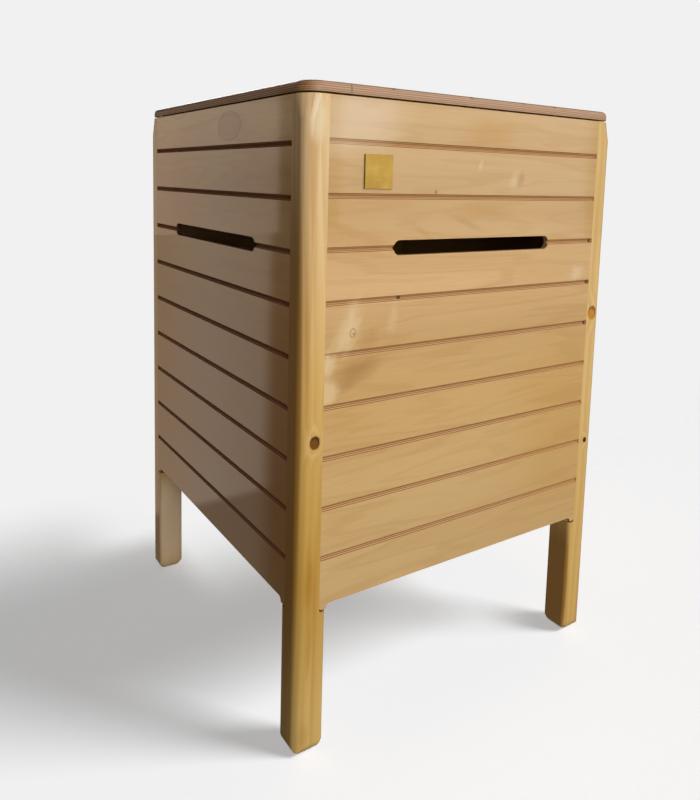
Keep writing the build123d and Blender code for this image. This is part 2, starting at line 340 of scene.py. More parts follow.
@dataclass(frozen=True)
class GlossVarnishedPine:
    """Yellow pine, planed and rounded over under a gloss varnish.

    Planing shows soft wide rings and straight fibres, and the varnish gives amber streaks and wet highlights.

    Attributes:
        name: The material's name.
        pith: Where the log's heart runs, in X and Y.
        knots: The knots that show.
        marks: Other figures, and painted light and shade.
        tones: The colours up the post: the wood's own tone, with painted light and shade where a post's tones
            are set for them.
        ring: How wide a year's growth is.
        wander: How far the heart strays on its way up.
        fibre: How wide a fibre is drawn.
    """

    name: str
    pith: tuple[float, float]
    knots: tuple[Knot, ...] = ()
    marks: tuple[Mark, ...] = ()
    tones: Tones = ((0.0, "#d6ae5e"),)
    late_wood: str = "#c08d42"
    amber: str = "#b98336"
    sawn_early: str = "#c79a5c"
    sawn_late: str = "#8f6029"
    ring: float = 5.5
    ring_share: float = 0.25
    wander: float = 16.0
    wander_lengths: Point = (METRE / 12, METRE / 12, METRE / 3)
    knot_swell: float = 6.0
    knot_swell_reach: float = 4.0
    fibre: float = 0.8
    fibre_length: float = 60.0
    fibre_share: float = 0.35
    fibre_level: float = -0.12
    streak_lengths: Point = (METRE / 90, METRE / 90, METRE / 3.5)
    streak_start: Point = (3.1, 7.7, 1.9)
    amber_share: float = 0.55
    varnish: ClearVarnish = ClearVarnish(soaked_coat=0.1, relief=0.06)

    def knot_place(self, tree: Tree, place: Socket, knot: Knot) -> Node:
        """Measures where a point lies in a knot.

        Args:
            tree: The material's node tree.
            place: The point's position.
            knot: The knot.

        Returns:
            The point's place in the knot's half sizes.
        """
        centre = [c * MM for c in knot.centre]
        scale = (1 / (knot.across * MM), 0.0, 1 / (knot.along * MM))
        off = add_node(tree, "VectorMath", {"operation": "SUBTRACT", 1: centre}, {0: place})
        return add_node(tree, "VectorMath", {"operation": "MULTIPLY", 1: scale}, {0: off})

    def rings(self, tree: Tree, place: Socket, knot_places: list[Node]) -> Node:
        """Draws the year rings round the log's heart, which wanders slowly along the post.

        Args:
            tree: The material's node tree.
            place: The point's position.
            knot_places: The point's place in every knot, where the rings swell.

        Returns:
            How much late wood the point holds, from 0 to 1.
        """
        wander = add_pattern(tree, place, self.wander_lengths, {"Detail": 2.0})
        pith = [-c * MM for c in self.pith]
        shift = add_node(
            tree,
            "VectorMath",
            {"operation": "MULTIPLY_ADD", 1: (self.wander * MM, self.wander * MM, 0.0), 2: (*pith, 0.0)},
            {0: wander.outputs["Color"]},
        )
        away = add_node(tree, "VectorMath", {"operation": "ADD"}, {0: place, 1: shift})
        flat = add_node(tree, "VectorMath", {"operation": "MULTIPLY", 1: (1.0, 1.0, 0.0)}, {0: away})
        radius = add_node(tree, "VectorMath", {"operation": "LENGTH"}, {0: flat}).outputs["Value"]
        bulge = FADING | {"From Min": 0.0, "From Max": self.knot_swell_reach, "To Min": self.knot_swell * MM}
        for knot_place in knot_places:
            reach = add_node(tree, "VectorMath", {"operation": "LENGTH"}, {0: knot_place})
            swell = add_node(tree, "MapRange", bulge, {"Value": reach.outputs["Value"]})
            radius = add_node(tree, "Math", {"operation": "ADD"}, {0: radius, 1: swell})
        count = {"operation": "MULTIPLY", 1: 1 / (self.ring * MM)}
        rings = add_node(tree, "Math", count, {0: radius})
        year = add_node(tree, "Math", {"operation": "FRACT"}, {0: rings})
        # Each year's wood darkens slowly outwards and ends in a sharp edge
        rise = add_node(tree, "MapRange", EASED | {"From Min": 0.15, "From Max": 0.9}, {"Value": year})
        drop = add_node(tree, "MapRange", FADING | {"From Min": 0.93, "From Max": 1.0}, {"Value": year})
        return add_node(tree, "Math", {"operation": "MULTIPLY"}, {0: rise, 1: drop})

    def planed_wood(self, tree: Tree, place: Socket, late: Node, fibres: Node) -> Socket:
        """Colours the planed faces with rings, fibres and amber streaks.

        Args:
            tree: The material's node tree.
            place: The point's position.
            late: How much late wood the point holds.
            fibres: The fibres.

        Returns:
            The colour.
        """
        ring_part = add_node(tree, "Math", {"operation": "MULTIPLY", 1: self.ring_share}, {0: late})
        drawn = {"operation": "MULTIPLY_ADD", 1: self.fibre_share, 2: self.fibre_level}
        fibre_part = add_node(tree, "Math", drawn, {0: fibres})
        grain = add_node(tree, "Math", {"operation": "ADD", "use_clamp": True}, {0: ring_part, 1: fibre_part})
        wood = add_node(
            tree,
            "Mix",
            COLOURS | {OVER: linear(self.late_wood)},
            {SHARE: grain, UNDER: add_tones(tree, place, self.tones)},
        )
        streaks = add_pattern(tree, place, self.streak_lengths, {"Detail": 2.0}, self.streak_start)
        strongest = EASED | {"From Min": 0.52, "From Max": 0.75, "To Max": self.amber_share}
        streaked = add_node(tree, "MapRange", strongest, {"Value": streaks})
        return add_node(
            tree, "Mix", COLOURS | {OVER: linear(self.amber)}, {SHARE: streaked, UNDER: wood.outputs[MIXED]}
        ).outputs[MIXED]

    def add_knot(self, tree: Tree, colour: Socket, knot_place: Node, knot: Knot) -> Socket:
        """Draws a knot over the wood.

        Args:
            tree: The material's node tree.
            colour: The wood's colour.
            knot_place: The point's place in the knot's half sizes.
            knot: The knot.

        Returns:
            The colour with the knot.
        """
        aside = 0.12
        edge = add_ragged(tree, knot_place, {"Scale": 1.6, "Detail": 1.0}, spread=0.35, low=-0.17)
        reach = add_node(tree, "VectorMath", {"operation": "LENGTH"}, {0: edge}).outputs["Value"]
        whole = add_node(tree, "MapRange", FADING | {"From Min": 0.85, "From Max": 1.15}, {"Value": reach})
        moved = add_node(tree, "VectorMath", {"operation": "ADD", 1: (aside, 0.0, knot.dark_side)}, {0: edge})
        inner = add_node(tree, "VectorMath", {"operation": "LENGTH"}, {0: moved}).outputs["Value"]
        rim = add_node(tree, "MapRange", EASED | {"From Min": 0.6, "From Max": 1.1}, {"Value": inner})
        branch = add_node(
            tree, "Mix", COLOURS | {UNDER: linear(knot.core), OVER: linear(knot.rim)}, {SHARE: rim}
        )
        return add_node(
            tree, "Mix", COLOURS, {SHARE: whole, UNDER: colour, OVER: branch.outputs[MIXED]}
        ).outputs[MIXED]

    def build(self) -> Material:
        """Builds the material.

        Returns:
            The finished pine.
        """
        material, surface = new_material(self.name, self.varnish.settings())
        tree = material.node_tree
        place = add_node(tree, "TexCoord").outputs["Object"]
        knot_places = [self.knot_place(tree, place, knot) for knot in self.knots]
        late = self.rings(tree, place, knot_places)
        # Fibres, drawn about as fine as a pixel and stretched along the grain
        fibre_lengths = (self.fibre, self.fibre, self.fibre_length)
        fibres = add_pattern(tree, place, fibre_lengths, {"Detail": 3.0, "Roughness": 0.6})
        colour = self.planed_wood(tree, place, late, fibres)
        for knot_place, knot in zip(knot_places, self.knots):
            colour = self.add_knot(tree, colour, knot_place, knot)
        colour = add_marks(tree, place, colour, self.marks, Axis.Y)
        # The sawn end under the lid is the one face that looks straight up: darker rings, hardly any shine
        facing = add_node(tree, "NewGeometry").outputs["True Normal"]
        upward = add_node(tree, "SeparateXYZ", links={0: facing}).outputs["Z"]
        sawn = add_node(tree, "MapRange", {"From Min": 0.9, "From Max": 0.97}, {"Value": upward})
        end_grain = COLOURS | {UNDER: linear(self.sawn_early), OVER: linear(self.sawn_late)}
        ringed = add_node(tree, "Mix", end_grain, {SHARE: late}).outputs[MIXED]
        colour = add_node(tree, "Mix", COLOURS, {SHARE: sawn, UNDER: colour, OVER: ringed})
        self.varnish.lay(tree, surface, colour.outputs[MIXED], sawn, fibres)
        return material


@dataclass(frozen=True)
class VarnishedBirchPlywood:
    """Birch plywood, its face veneer peeled from a turning log, sanded and varnished.

    Peeling gives the pale face soft ovals and flames. Where the sheet is cut, brown plies show between dark
    glue lines.

    Attributes:
        name: The material's name.
        grain: The axis that the face veneer's fibres run along.
        through: The axis through the sheet.
        face_at: Where the outer face lies on that axis, in millimetres.
        inward: 1 where the sheet lies beyond the outer face on that axis, and -1 where it lies before it.
        thickness: The sheet's thickness, in millimetres.
        plies: How many plies it has.
        seed: Where in the endless pattern the sheet lies.
    """

    name: str
    grain: Axis
    through: Axis
    face_at: float
    inward: float
    thickness: float = 5.0
    plies: int = 5
    face_veneer: float = 0.12
    sanded_off: float = 0.03
    glue_share: float = 0.36
    glue_fade: float = 0.3
    tones: Tones = ((0.0, "#dab17c"),)
    marks: tuple[Mark, ...] = ()
    flame: str = "#b98748"
    band_share: float = 0.22
    line_share: float = 0.15
    contours: float = 40.0
    fibre_share: float = 0.5
    fibre_level: float = -0.24
    long_ply: str = "#dcb182"
    cross_ply: str = "#cc9d69"
    glue_line: str = "#93683a"
    figure_across: float = 26.0
    figure_along: float = 260.0
    fibre: float = 0.9
    fibre_length: float = 28.0
    seed: float = 0.0
    varnish: ClearVarnish = ClearVarnish()

    def lengths(self, across: float, along: float) -> list[float]:
        """Gives a pattern's lengths on X, Y and Z from its lengths across and along the grain."""
        return [along if c else across for c in self.grain.value]

    def face_wood(self, tree: Tree, place: Socket, fibres: Node) -> Socket:
        """Colours the face veneer.

        Args:
            tree: The material's node tree.
            place: The point's position.
            fibres: The fibres.

        Returns:
            The colour.
        """
        bands = add_pattern(
            tree,
            place,
            self.lengths(self.figure_across, self.figure_along),
            {"Detail": 2.0, "Roughness": 0.45, "Distortion": 0.2},
            (self.seed, self.seed * 1.7, self.seed * 0.3),
        )
        # Growth lines are the contours of the slow bands, so they close into ovals and flames
        contour = add_node(tree, "Math", {"operation": "MULTIPLY", 1: self.contours}, {0: bands})
        wave = add_node(tree, "Math", {"operation": "SINE"}, {0: contour})
        lines = add_node(tree, "MapRange", EASED | {"From Min": 0.2, "From Max": 1.0}, {"Value": wave})
        strongest = EASED | {"From Min": 0.3, "From Max": 0.72, "To Max": self.band_share}
        band_part = add_node(tree, "MapRange", strongest, {"Value": bands})
        over_bands = {"operation": "MULTIPLY_ADD", 1: self.line_share}
        line_part = add_node(tree, "Math", over_bands, {0: lines, 2: band_part})
        drawn = {"operation": "MULTIPLY_ADD", 1: self.fibre_share, 2: self.fibre_level}
        fibre_part = add_node(tree, "Math", drawn, {0: fibres})
        figure = add_node(
            tree, "Math", {"operation": "ADD", "use_clamp": True}, {0: line_part, 1: fibre_part}
        )
        return add_node(
            tree,
            "Mix",
            COLOURS | {OVER: linear(self.flame)},
            {SHARE: figure, UNDER: add_tones(tree, place, self.tones)},
        ).outputs[MIXED]

    def cut_wood(self, tree: Tree, depth: Node) -> Socket:
        """Colours the plies and the glue lines between them.

        Args:
            tree: The material's node tree.
            depth: How deep the point lies below the outer face.

        Returns:
            The colour.
        """
        counted = {
            "operation": "MULTIPLY_ADD",
            1: self.plies / (self.thickness * MM),
            2: 1.0 - self.face_veneer * self.plies / self.thickness,
        }
        ply_count = add_node(tree, "Math", counted, {0: depth})
        in_ply = add_node(tree, "Math", {"operation": "FRACT"}, {0: ply_count})
        glue_line = FADING | {"From Min": self.glue_share, "From Max": self.glue_share + self.glue_fade}
        glue = add_node(tree, "MapRange", glue_line, {"Value": in_ply})
        crossed = add_node(tree, "Math", {"operation": "PINGPONG", 1: 1.0}, {0: ply_count})
        bare = add_node(
            tree,
            "Mix",
            COLOURS | {UNDER: linear(self.long_ply), OVER: linear(self.cross_ply)},
            {SHARE: crossed},
        )
        return add_node(
            tree, "Mix", COLOURS | {OVER: linear(self.glue_line)}, {SHARE: glue, UNDER: bare.outputs[MIXED]}
        ).outputs[MIXED]

    def build(self) -> Material:
        """Builds the material.

        Returns:
            The finished plywood.
        """
        material, surface = new_material(self.name, self.varnish.settings())
        tree = material.node_tree
        place = add_node(tree, "TexCoord").outputs["Object"]
        # Fibres, drawn about as fine as a pixel and stretched along the grain
        fibre_lengths = self.lengths(self.fibre, self.fibre_length)
        fibres = add_pattern(tree, place, fibre_lengths, {"Detail": 3.0, "Roughness": 0.65})
        face = self.face_wood(tree, place, fibres)
        along_axis = add_node(
            tree,
            "VectorMath",
            {"operation": "DOT_PRODUCT", 1: [c * self.inward for c in self.through.value]},
            {0: place},
        )
        depth = add_node(
            tree,
            "Math",
            {"operation": "ADD", 1: -self.face_at * MM * self.inward},
            {0: along_axis.outputs["Value"]},
        )
        # Both faces of the sheet show veneer, and whatever lies deeper shows plies
        from_face = add_node(tree, "Math", {"operation": "PINGPONG", 1: self.thickness * MM / 2}, {0: depth})
        veneer = EASED | {"From Min": self.sanded_off * MM, "From Max": self.face_veneer * MM}
        cut = add_node(tree, "MapRange", veneer, {"Value": from_face})
        colour = add_node(tree, "Mix", COLOURS, {SHARE: cut, UNDER: face, OVER: self.cut_wood(tree, depth)})
        marked = add_marks(tree, place, colour.outputs[MIXED], self.marks, self.through)
        self.varnish.lay(tree, surface, marked, cut, fibres)
        return material


@dataclass(frozen=True)
class PlainFinish:
    """A small or hidden piece's finish: two close tones in a fine mottle."""

    name: str
    low: str
    high: str
    metallic: float = 0.0
    roughness: float = 0.7
    grit: float = 2.0

    def build(self) -> Material:
        """Builds the material.

        Returns:
            The finished material.
        """
        material, surface = new_material(self.name, {"Metallic": self.metallic, "Roughness": self.roughness})
        tree = material.node_tree
        place = add_node(tree, "TexCoord").outputs["Object"]
        fine = {"Scale": 1 / (self.grit * MM), "Detail": 4.0}
        mottle = add_node(tree, "TexNoise", fine, {"Vector": place})
        tones = COLOURS | {UNDER: linear(self.low), OVER: linear(self.high)}
        colour = add_node(tree, "Mix", tones, {SHARE: mottle})
        tree.links.new(colour.outputs[MIXED], surface.inputs["Base Color"])
        return material


# Planed pine left bare: pale and matt
PLANED_BATTEN = PlainFinish("planed_pine_batten", "#d9b98a", "#cda873")
# Sanded plywood left bare: paler still, with nothing mirrored in it
SANDED_FLOOR = PlainFinish("sanded_plywood_floor", "#dcc298", "#cfae7c")
# Pressed brass gone dull: a warm metal that blurs what it mirrors
PRESSED_BRASS = PlainFinish("pressed_brass", "#a8823e", "#c6a257", 1.0, 0.35, 1.0)
# Turned brass: the same metal, a little sharper in its highlights
TURNED_BRASS = PlainFinish("turned_brass_screw", "#a8823e", "#c6a257", 1.0, 0.3, 1.0)
# Pressed felt: brown, and dull from every side
PRESSED_FELT = PlainFinish("pressed_felt", "#5d4c38", "#6d5b44", 0.0, 0.95, 0.5)


@dataclass(frozen=True)
class DulledBrassPlate:
    """Rolled and brushed brass, lacquered and dulled: an even gold with faint level lines, and painted shade
    on the sides that turn away from the front.
    """

    name: str = "brushed_brass_plate"
    low: str = "#c49a3e"
    high: str = "#e0b556"
    painted_edge_shade: str = "#2b2112"
    brush_lengths: Point = (METRE / 60, METRE / 60, METRE / 1400)
    cloud: float = METRE / 90
    groove: float = 0.2

    def build(self) -> Material:
        """Builds the material.

        Returns:
            The finished brass.
        """
        material, surface = new_material(self.name, {"Metallic": 0.35, "Roughness": 0.38})
        tree = material.node_tree
        place = add_node(tree, "TexCoord").outputs["Object"]
        # Brush lines of the sheet, drawn as fine as a pixel allows
        brushed = add_pattern(tree, place, self.brush_lengths, {"Detail": 3.0})
        clouds = {"Scale": 1 / (self.cloud * MM), "Detail": 1.0}
        cloud = add_node(tree, "TexNoise", clouds, {"Vector": place})
        tone = add_node(tree, "Math", {"operation": "MULTIPLY_ADD", 1: 0.4}, {0: brushed, 2: cloud})
        shade = add_node(tree, "MapRange", {"From Min": 0.35, "From Max": 1.0}, {"Value": tone})
        tones = COLOURS | {UNDER: linear(self.low), OVER: linear(self.high)}
        gold = add_node(tree, "Mix", tones, {SHARE: shade}).outputs[MIXED]
        # Painted shade on the sides that turn away from the front
        normal = add_node(tree, "NewGeometry").outputs["True Normal"]
        forward = {"operation": "DOT_PRODUCT", 1: (0.0, -1.0, 0.0)}
        facing = add_node(tree, "VectorMath", forward, {0: normal}).outputs["Value"]
        face = add_node(tree, "MapRange", {"From Min": 0.45, "From Max": 0.6}, {"Value": facing})
        edge_shading = COLOURS | {UNDER: linear(self.painted_edge_shade)}
        colour = add_node(tree, "Mix", edge_shading, {SHARE: face, OVER: gold})
        tree.links.new(colour.outputs[MIXED], surface.inputs["Base Color"])
        relief = {"Strength": 0.05, "Distance": self.groove * MM}
        grooves = add_node(tree, "Bump", relief, {"Height": brushed})
        tree.links.new(grooves.outputs[0], surface.inputs["Normal"])
        return material


class Reach(Enum):
    """What a light reaches: the studio floor alone, or everything but the floor."""

    FLOOR_ALONE = "INCLUDE"
    ALL_BUT_FLOOR = "EXCLUDE"


def place_light(light: bpy.types.Object, direction: Vector, floor: bpy.types.Object, reach: Reach) -> None:
    """Aims a light, puts it in the scene and limits what it reaches.

    Args:
        light: The light.
        direction: The way that it shines.
        floor: The studio floor.
        reach: What it reaches.
    """
    light.rotation_euler = direction.to_track_quat("-Z", "Y").to_euler()
    bpy.context.scene.collection.objects.link(light)
    reached = bpy.data.collections.new(f"{light.name}_reach")
    reached.objects.link(floor)
    reached.collection_objects[0].light_linking.link_state = reach.value
    light.light_linking.receiver_collection = reached


@dataclass(frozen=True)
class Softbox:
    """A soft upright lamp beside the box, in metres; its brightness is what a mirror would show of it."""

    name: str
    place: Point
    target: Point
    size: tuple[float, float]
    brightness: float
    colour: str = "#ffffff"
    mirrored: bool = True

    def build(self, floor: bpy.types.Object) -> None:
        """Puts the lamp in the scene.

        Args:
            floor: The studio floor, which the lamp leaves to the window light.
        """
        data = bpy.data.lights.new(self.name, "AREA")
        data.shape = "RECTANGLE"
        data.size, data.size_y = self.size
        data.energy = self.brightness * math.pi * self.size[0] * self.size[1]
        data.color = linear(self.colour)[:3]
        lamp = bpy.data.objects.new(self.name, data)
        lamp.location = self.place
        lamp.visible_camera = False
        lamp.visible_glossy = self.mirrored
        place_light(lamp, Vector(self.target) - Vector(self.place), floor, Reach.ALL_BUT_FLOOR)


@dataclass(frozen=True)
class WindowLight:
    """Broad daylight from far off, which lights the floor evenly and throws the box's soft shadow on it."""

    name: str
    towards: Point
    strength: float
    spread: float

    def build(self, floor: bpy.types.Object) -> None:
        """Puts the light in the scene.

        Args:
            floor: The studio floor, the only thing that it lights.
        """
        data = bpy.data.lights.new(self.name, "SUN")
        data.energy = self.strength
        data.angle = math.radians(self.spread)
        light = bpy.data.objects.new(self.name, data)
        place_light(light, -Vector(self.towards), floor, Reach.FLOOR_ALONE)


@dataclass(frozen=True)
class PaintedLightPart:
    """A part of the floor where painted light lifts the shadow, growing from one X and Y to another, in
    metres.
    """

    x_from: float
    x_to: float
    y_from: float
    y_to: float
    share: float


@dataclass
class StudioFloor:
    """A round pale floor, in metres. It fades into the backdrop and carries the box's soft shadow, which
    painted light lifts in places.

    The lacquer mirrors another floor than the one that is seen: bright beyond the box and dark beside it, as
    in a room whose light falls on the far side.
    """

    radius: float = 6.0
    corners: int = 96
    colour: str = "#ebecee"
    glow: float = 0.41
    bounce: float = 0.15
    # The mirrored floor turns bright at far_from, ends at sheen_end and is dark before a slanting line
    near_sheen: float = 0.26
    far_sheen: float = 0.71
    far_from: float = 0.285
    far_blur: float = 0.015
    sheen_end: float = 4.74
    sheen_base: float = 0.05
    beyond: Point = (0.89, 0.455, 0.0)
    beyond_reach: tuple[float, float] = (-0.219, -0.185)
    # Its colour warms across a fan, by X over Y from the fan's own corner
    cool_sheen: str = "#ffebd7"
    warm_sheen: str = "#f3d0ac"
    fan_from: Point = (0.084, -0.62, 0.0)
    fan_slants: tuple[float, float] = (-0.41, -0.325)
    # The seen floor fades with its distance from the middle, and painted light lifts its shadow with how far
    # back it lies
    fade_out: tuple[float, float] = (1.0, 3.5)
    shadow_end: tuple[float, float] = (0.13, 0.42)
    painted_light_parts: tuple[PaintedLightPart, ...] = (
        PaintedLightPart(-0.165, -0.115, 0.03, 0.21, 0.88),
        PaintedLightPart(-0.27, -0.16, 0.19, 0.26, 0.9),
    )
    painted_light_spot: Point = (0.085, -0.115, 0.0)
    painted_light_spot_radius: float = 0.065
    painted_light_spot_share: float = 0.65

    def disc(self) -> bpy.types.Object:
        """Makes the floor's mesh.

        Returns:
            The floor, still without its material.
        """
        angles = [math.tau * n / self.corners for n in range(self.corners)]
        ring = [(self.radius * math.cos(angle), self.radius * math.sin(angle), 0.0) for angle in angles]
        mesh = bpy.data.meshes.new("studio_floor")
        mesh.from_pydata(ring, [], [list(range(self.corners))])
        floor = bpy.data.objects.new("studio_floor", mesh)
        bpy.context.scene.collection.objects.link(floor)
        return floor

    def mirrored(self, tree: Tree, place: Socket, y: Socket) -> Node:
        """Draws the floor that shows in the lacquer.

        Args:
            tree: The material's node tree.
            place: The point's position.
            y: How far back the point lies.

        Returns:
            The shader.
        """
        brighter = EASED | {
            "From Min": self.far_from - self.far_blur,
            "From Max": self.far_from + self.far_blur,
            "To Min": self.near_sheen,
            "To Max": self.far_sheen,
        }
        sheen = add_node(tree, "MapRange", brighter, {"Value": y})
        # The mirrored floor ends where the mirrored wall starts
        before_wall = add_node(tree, "Math", {"operation": "LESS_THAN", 1: self.sheen_end}, {0: y})
        sheen = add_node(tree, "Math", {"operation": "MULTIPLY"}, {0: sheen, 1: before_wall})
        onward = {"operation": "DOT_PRODUCT", 1: self.beyond}
        distance = add_node(tree, "VectorMath", onward, {0: place}).outputs["Value"]
        low, high = self.beyond_reach
        beyond = add_node(tree, "MapRange", EASED | {"From Min": low, "From Max": high}, {"Value": distance})
        base = {"operation": "MULTIPLY_ADD", 2: self.sheen_base}
        bright = add_node(tree, "Math", base, {0: sheen, 1: beyond})
        # Warmer in the direction that the far end of the left face mirrors
        from_corner = {"operation": "SUBTRACT", 1: self.fan_from}
        spread = add_node(tree, "VectorMath", from_corner, {0: place})
        sides = add_node(tree, "SeparateXYZ", links={0: spread}).outputs
        slant = add_node(tree, "Math", {"operation": "DIVIDE"}, {0: sides["X"], 1: sides["Y"]})
        low, high = self.fan_slants
        warmth = add_node(tree, "MapRange", {"From Min": low, "From Max": high}, {"Value": slant})
        colours = COLOURS | {UNDER: linear(self.cool_sheen), OVER: linear(self.warm_sheen)}
        colour = add_node(tree, "Mix", colours, {SHARE: warmth}).outputs[MIXED]
        return add_node(tree, "Emission", links={"Color": colour, "Strength": bright})

    def kept_share(self, tree: Tree, place: Socket, x: Socket, y: Socket) -> Node:
        """Works out how much of the floor and its shadow is kept before the backdrop shows through.

        Args:
            tree: The material's node tree.
            place: The point's position.
            x: How far to the right the point lies.
            y: How far back it lies.

        Returns:
            The share, from 0 to 1.
        """
        shares = []
        # Painted light between the legs and at the shadow's far edge
        for part in self.painted_light_parts:
            rise_x = EASED | {"From Min": part.x_from, "From Max": part.x_to, "To Max": part.share}
            rise_y = EASED | {"From Min": part.y_from, "From Max": part.y_to}
            by_x = add_node(tree, "MapRange", rise_x, {"Value": x})
            by_y = add_node(tree, "MapRange", rise_y, {"Value": y})
            painted_light = add_node(tree, "Math", {"operation": "MULTIPLY"}, {0: by_x, 1: by_y})
            shares.append(add_node(tree, "Math", {"operation": "SUBTRACT", 0: 1.0}, {1: painted_light}))
        # A small patch of painted light inside the shadow, near the front
        off_spot = {"operation": "DISTANCE", 1: self.painted_light_spot}
        distance = add_node(tree, "VectorMath", off_spot, {0: place}).outputs["Value"]
        patch = FADING | {"From Min": 0.0, "From Max": self.painted_light_spot_radius, "To Min": self.painted_light_spot_share}
        painted_light = add_node(tree, "MapRange", patch, {"Value": distance})
        shares.append(add_node(tree, "Math", {"operation": "SUBTRACT", 0: 1.0}, {1: painted_light}))
        # Painted light lifts the shadow soon behind the box, and the floor itself fades farther out
        reach = add_node(tree, "VectorMath", {"operation": "LENGTH"}, {0: place}).outputs["Value"]
        for (low, high), value in ((self.shadow_end, y), (self.fade_out, reach)):
            fading = FADING | {"From Min": low, "From Max": high}
            shares.append(add_node(tree, "MapRange", fading, {"Value": value}))
        kept = shares[0]
        for share in shares[1:]:
            kept = add_node(tree, "Math", {"operation": "MULTIPLY"}, {0: kept, 1: share})
        return kept

    def build(self) -> bpy.types.Object:
        """Lays the floor.

        Returns:
            The floor.
        """
        floor = self.disc()
        # Matt white paint: no sheen to the eye, and a glow that lifts it to the backdrop's tone
        material = bpy.data.materials.new("matt_white_floor")
        tree = emptied_tree(material)
        place = add_node(tree, "TexCoord").outputs["Object"]
        sides = add_node(tree, "SeparateXYZ", links={0: place}).outputs
        ray = add_node(tree, "LightPath").outputs
        white = add_node(tree, "BsdfDiffuse", {"Color": linear(self.colour)})
        glow = add_node(tree, "Emission", {"Strength": self.glow})
        seen = add_node(tree, "AddShader", links={0: white, 1: glow})
        clear = add_node(tree, "BsdfTransparent")
        kept = self.kept_share(tree, place, sides["X"], sides["Y"])
        faded = add_node(tree, "MixShader", links={0: kept, 1: clear, 2: seen})
        dim = add_node(tree, "BsdfDiffuse", {"Color": (*[self.bounce] * 3, 1.0)})
        sheen = self.mirrored(tree, place, sides["Y"])
        unseen = add_node(tree, "MixShader", links={0: ray["Is Glossy Ray"], 1: dim, 2: sheen})
        both = add_node(tree, "MixShader", links={0: ray["Is Camera Ray"], 1: unseen, 2: faded})
        add_node(tree, "OutputMaterial", links={"Surface": both})
        floor.data.materials.append(material)
        return floor


@dataclass
class Studio:
    """The floor, the backdrop, the lights and the camera, in metres."""

    camera_place: Point = (-0.4222, -0.6205, 0.4543)
    forward: Point = (0.54609, 0.82998, -0.11364)
    right: Point = (0.83673, -0.54701, 0.02573)
    lens: float = 32.165
    sensor: float = 36.0
    shift_y: float = -0.1726
    backdrop_colour: str = "#f1f1f1"
    room_light: float = 0.03
    wall_back: float = 1.2
    wall_middle: float = 1.25
    wall_height: float = 1.90
    wall_edges: tuple[float, ...] = (-0.865, -0.65, -0.60, -0.55, -0.50, -0.415)
    wall_tones: tuple[tuple[float, str], ...] = (
        (0.84, "#ffead6"),
        (0.86, "#ffe4cb"),
        (0.88, "#ffdec2"),
        (0.93, "#ffdcbd"),
        (0.98, "#ffd8b6"),
    )

    def left_wall(self) -> list[Softbox]:
        """Stands the wall that the left face mirrors, in strips that grow brighter towards the box.

        Returns:
            The strips.
        """
        strips = zip(self.wall_edges, self.wall_edges[1:], self.wall_tones)
        return [
            Softbox(
                f"left_wall_{n}",
                place=((left + right) / 2, self.wall_back, self.wall_middle),
                target=((left + right) / 2, 0.0, self.wall_middle),
                size=(right - left, self.wall_height),
                brightness=brightness,
                colour=colour,
            )
            for n, (left, right, (brightness, colour)) in enumerate(strips)
        ]

    def lights(self) -> list[WindowLight | Softbox]:
        """Lists the lights.

        Returns:
            The daylight on the floor, the lamps in front, the walls and the lamps behind.
        """
        low = (0.0, 0.0, 0.3)
        return [
            WindowLight("window_light", towards=(0.628, -0.515, 0.584), strength=2.8, spread=23.6),
            Softbox("key_window", (1.37, -1.25, 1.75), (0.0, 0.0, 0.25), (1.6, 1.6), 2.5),
            Softbox("front_window", (-0.42, -2.1, 0.6), (-0.42, 0.0, 0.6), (1.1, 1.2), 4.6, mirrored=False),
            Softbox("gleam", (-0.25, -2.1, 1.0), (-0.25, 0.0, 1.0), (1.3, 0.8), 3.2),
            Softbox("left_window", (-1.6, -0.7, 0.9), (0.0, 0.0, 0.9), (0.22, 1.5), 0.9, "#ffc888"),
            *self.left_wall(),
            Softbox("right_wall", (1.57, -1.94, 0.95), (0.0, 0.0, 0.95), (1.0, 1.4), 1.0),
            Softbox("right_window", (2.4, 0.5, 1.2), low, (1.2, 1.2), 6.0, mirrored=False),
            Softbox("back_window", (0.8, 2.4, 1.3), low, (1.2, 1.2), 6.5),
        ]

    def camera(self) -> None:
        """Stands the camera where the photograph was taken from."""
        data = bpy.data.cameras.new("camera")
        data.sensor_width = self.sensor
        data.lens = self.lens
        data.shift_y = self.shift_y
        data.clip_start = 0.01
        camera = bpy.data.objects.new("camera", data)
        away = -Vector(self.forward).normalized()
        across = Vector(self.right).normalized()
        upright = away.cross(across).normalized()
        turn = Matrix((across, upright, away)).transposed().to_4x4()
        camera.matrix_world = Matrix.Translation(self.camera_place) @ turn
        bpy.context.scene.collection.objects.link(camera)
        bpy.context.scene.camera = camera

    def backdrop(self) -> None:
        """Sets the light grey backdrop and the dimmer room light."""
        world = bpy.data.worlds.new("studio")
        tree = emptied_tree(world)
        seen = add_node(tree, "Background", {"Color": linear(self.backdrop_colour), "Strength": 1.0})
        room = add_node(tree, "Background", {"Color": linear("#ffffff"), "Strength": self.room_light})
        ray = add_node(tree, "LightPath").outputs
        both = add_node(tree, "MixShader", links={0: ray["Is Camera Ray"], 1: room, 2: seen})
        add_node(tree, "OutputWorld", links={"Surface": both})
        bpy.context.scene.world = world

    def build(self) -> None:
        """Sets up the whole studio."""
        self.camera()
        floor = StudioFloor().build()
        self.backdrop()
        for light in self.lights():
            light.build(floor)
        bpy.context.scene.view_settings.view_transform = "Standard"


